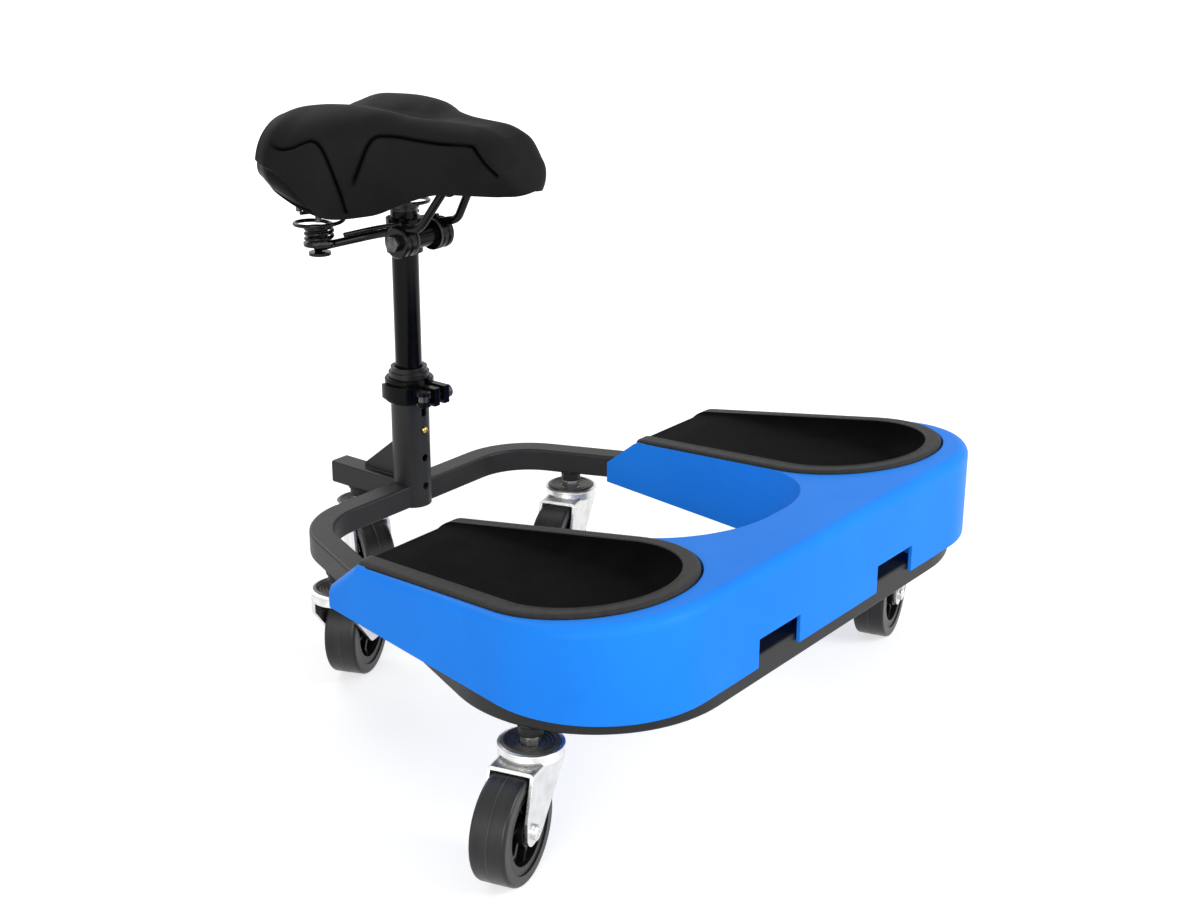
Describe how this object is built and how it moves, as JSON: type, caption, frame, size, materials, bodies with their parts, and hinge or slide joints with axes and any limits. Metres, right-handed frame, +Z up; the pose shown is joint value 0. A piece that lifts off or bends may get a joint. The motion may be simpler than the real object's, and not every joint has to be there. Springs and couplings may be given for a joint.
{
  "type": "tilers rolling stool",
  "caption": "Low rolling work stool with a sprung saddle on a height-adjustable post, a knee-pad tray and swivel casters under a tube frame.",
  "frame": {"origin": "on the floor, straight below the axis of the seat post", "axes": "+Z up along the seat post; +Y to the rear, along the tail tube; +X to the sitter's left"},
  "size_m": [0.5721, 0.5195, 0.4376],
  "materials": {
    "frame_paint": "satin black powder coat",
    "post_paint": "gloss black paint",
    "zinc": "bright zinc plate",
    "dark_steel": "dark oiled steel",
    "black_steel": "black lacquered steel wire and plate",
    "bright_steel": "plain steel",
    "black_plastic": "matt black moulded plastic",
    "tray_plastic": "blue moulded plastic with a soft gloss",
    "pad_foam": "charcoal moulded foam with a fine grain",
    "saddle_skin": "matt black upholstery over foam",
    "tread": "black moulded tread",
    "brass": "plain brass"
  },
  "bodies": {
    "frame": {"base_frame": "frame_paint", "seat_tube": "frame_paint", "tail_tube": "frame_paint", "tail_plug": "black_plastic", "tail_gusset": "frame_paint", "caster_bosses": "frame_paint", "caster_stems": "dark_steel", "upper_races": "zinc", "post_bush": "black_plastic", "clamp_collar": "post_paint", "clamp_bolt": "dark_steel", "tray_shell": "tray_plastic", "tray_screws": "dark_steel", "knee_pad_left": "pad_foam", "knee_pad_right": "pad_foam"},
    "lever": {"clamp_lever": "post_paint", "lever_pin": "dark_steel"},
    "post": {"seat_post": "post_paint", "post_cap": "black_plastic", "post_head": "post_paint", "button_spring": "bright_steel"},
    "button": {"snap_button": "brass"},
    "rails": {"saddle_rails": "black_steel", "rail_stays": "black_steel", "clamp_cheeks": "black_steel", "clamp_nuts": "dark_steel", "saddle_bolt": "dark_steel", "spring_seats": "black_steel", "spring_left": "black_steel", "spring_right": "black_steel"},
    "saddle": {"saddle_cover": "saddle_skin", "saddle_pan": "black_plastic", "nose_bracket": "black_steel", "spring_bolts": "dark_steel"},
    "caster_front_left": {"fork_front_left": "zinc", "axle_front_left": "zinc", "hub_bush_front_left": "bright_steel"},
    "wheel_front_left": {"wheel_core_front_left": "black_plastic", "tyre_front_left": "tread"},
    "caster_front_right": {"fork_front_right": "zinc", "axle_front_right": "zinc", "hub_bush_front_right": "bright_steel"},
    "wheel_front_right": {"wheel_core_front_right": "black_plastic", "tyre_front_right": "tread"},
    "caster_rear_left": {"fork_rear_left": "zinc", "axle_rear_left": "zinc", "hub_bush_rear_left": "bright_steel"},
    "wheel_rear_left": {"wheel_core_rear_left": "black_plastic", "tyre_rear_left": "tread"},
    "caster_rear_right": {"fork_rear_right": "zinc", "axle_rear_right": "zinc", "hub_bush_rear_right": "bright_steel"},
    "wheel_rear_right": {"wheel_core_rear_right": "black_plastic", "tyre_rear_right": "tread"},
    "caster_tail": {"fork_tail": "zinc", "axle_tail": "zinc", "hub_bush_tail": "bright_steel"},
    "wheel_tail": {"wheel_core_tail": "black_plastic", "tyre_tail": "tread"}
  },
  "joints": [
    {"name": "post_height", "type": "slide", "parent": "frame", "child": "post", "axis": [0, 0, 1], "range_m": [-0.05, 0]},
    {"name": "lever_open", "type": "hinge", "parent": "frame", "child": "lever", "pos_m": [-0.01575, -0.031, 0.20175], "axis": [0, 0, 1], "range_deg": [0, 110]},
    {"name": "button_press", "type": "slide", "parent": "post", "child": "button", "axis": [0, 1, 0], "range_m": [0, 0.0025], "stiffness_N_per_m": 1500, "deforming": ["button_spring"]},
    {"name": "saddle_tilt", "type": "hinge", "parent": "post", "child": "rails", "pos_m": [0, -0.017, 0.3324], "axis": [1, 0, 0], "range_deg": [-8, 8]},
    {"name": "saddle_spring", "type": "hinge", "parent": "rails", "child": "saddle", "pos_m": [0, -0.066, 0.388], "axis": [1, 0, 0], "range_deg": [-5, 0], "stiffness_Nm_per_rad": 400, "deforming": ["spring_left", "spring_right"]},
    {"name": "swivel_front_left", "type": "hinge", "parent": "frame", "child": "caster_front_left", "pos_m": [0.23961, -0.33275, 0.06], "axis": [0, 0, 1], "continuous": true},
    {"name": "spin_front_left", "type": "hinge", "parent": "caster_front_left", "child": "wheel_front_left", "pos_m": [0.20886, -0.34042, 0.038], "axis": [0.2419, -0.9703, 0], "continuous": true},
    {"name": "swivel_front_right", "type": "hinge", "parent": "frame", "child": "caster_front_right", "pos_m": [-0.23961, -0.33275, 0.06], "axis": [0, 0, 1], "continuous": true},
    {"name": "spin_front_right", "type": "hinge", "parent": "caster_front_right", "child": "wheel_front_right", "pos_m": [-0.27024, -0.34096, 0.038], "axis": [0.2588, -0.9659, 0], "continuous": true},
    {"name": "swivel_rear_left", "type": "hinge", "parent": "frame", "child": "caster_rear_left", "pos_m": [0.14438, -0.057, 0.06], "axis": [0, 0, 1], "continuous": true},
    {"name": "spin_rear_left", "type": "hinge", "parent": "caster_rear_left", "child": "wheel_rear_left", "pos_m": [0.11406, -0.06627, 0.038], "axis": [0.2924, -0.9563, 0], "continuous": true},
    {"name": "swivel_rear_right", "type": "hinge", "parent": "frame", "child": "caster_rear_right", "pos_m": [-0.14438, -0.057, 0.06], "axis": [0, 0, 1], "continuous": true},
    {"name": "spin_rear_right", "type": "hinge", "parent": "caster_rear_right", "child": "wheel_rear_right", "pos_m": [-0.1152, -0.04461, 0.038], "axis": [-0.3907, 0.9205, 0], "continuous": true},
    {"name": "swivel_tail", "type": "hinge", "parent": "frame", "child": "caster_tail", "pos_m": [0, 0.064, 0.06], "axis": [0, 0, 1], "continuous": true},
    {"name": "spin_tail", "type": "hinge", "parent": "caster_tail", "child": "wheel_tail", "pos_m": [-0.01585, 0.03655, 0.038], "axis": [0.866, -0.5, 0], "continuous": true}
  ]
}
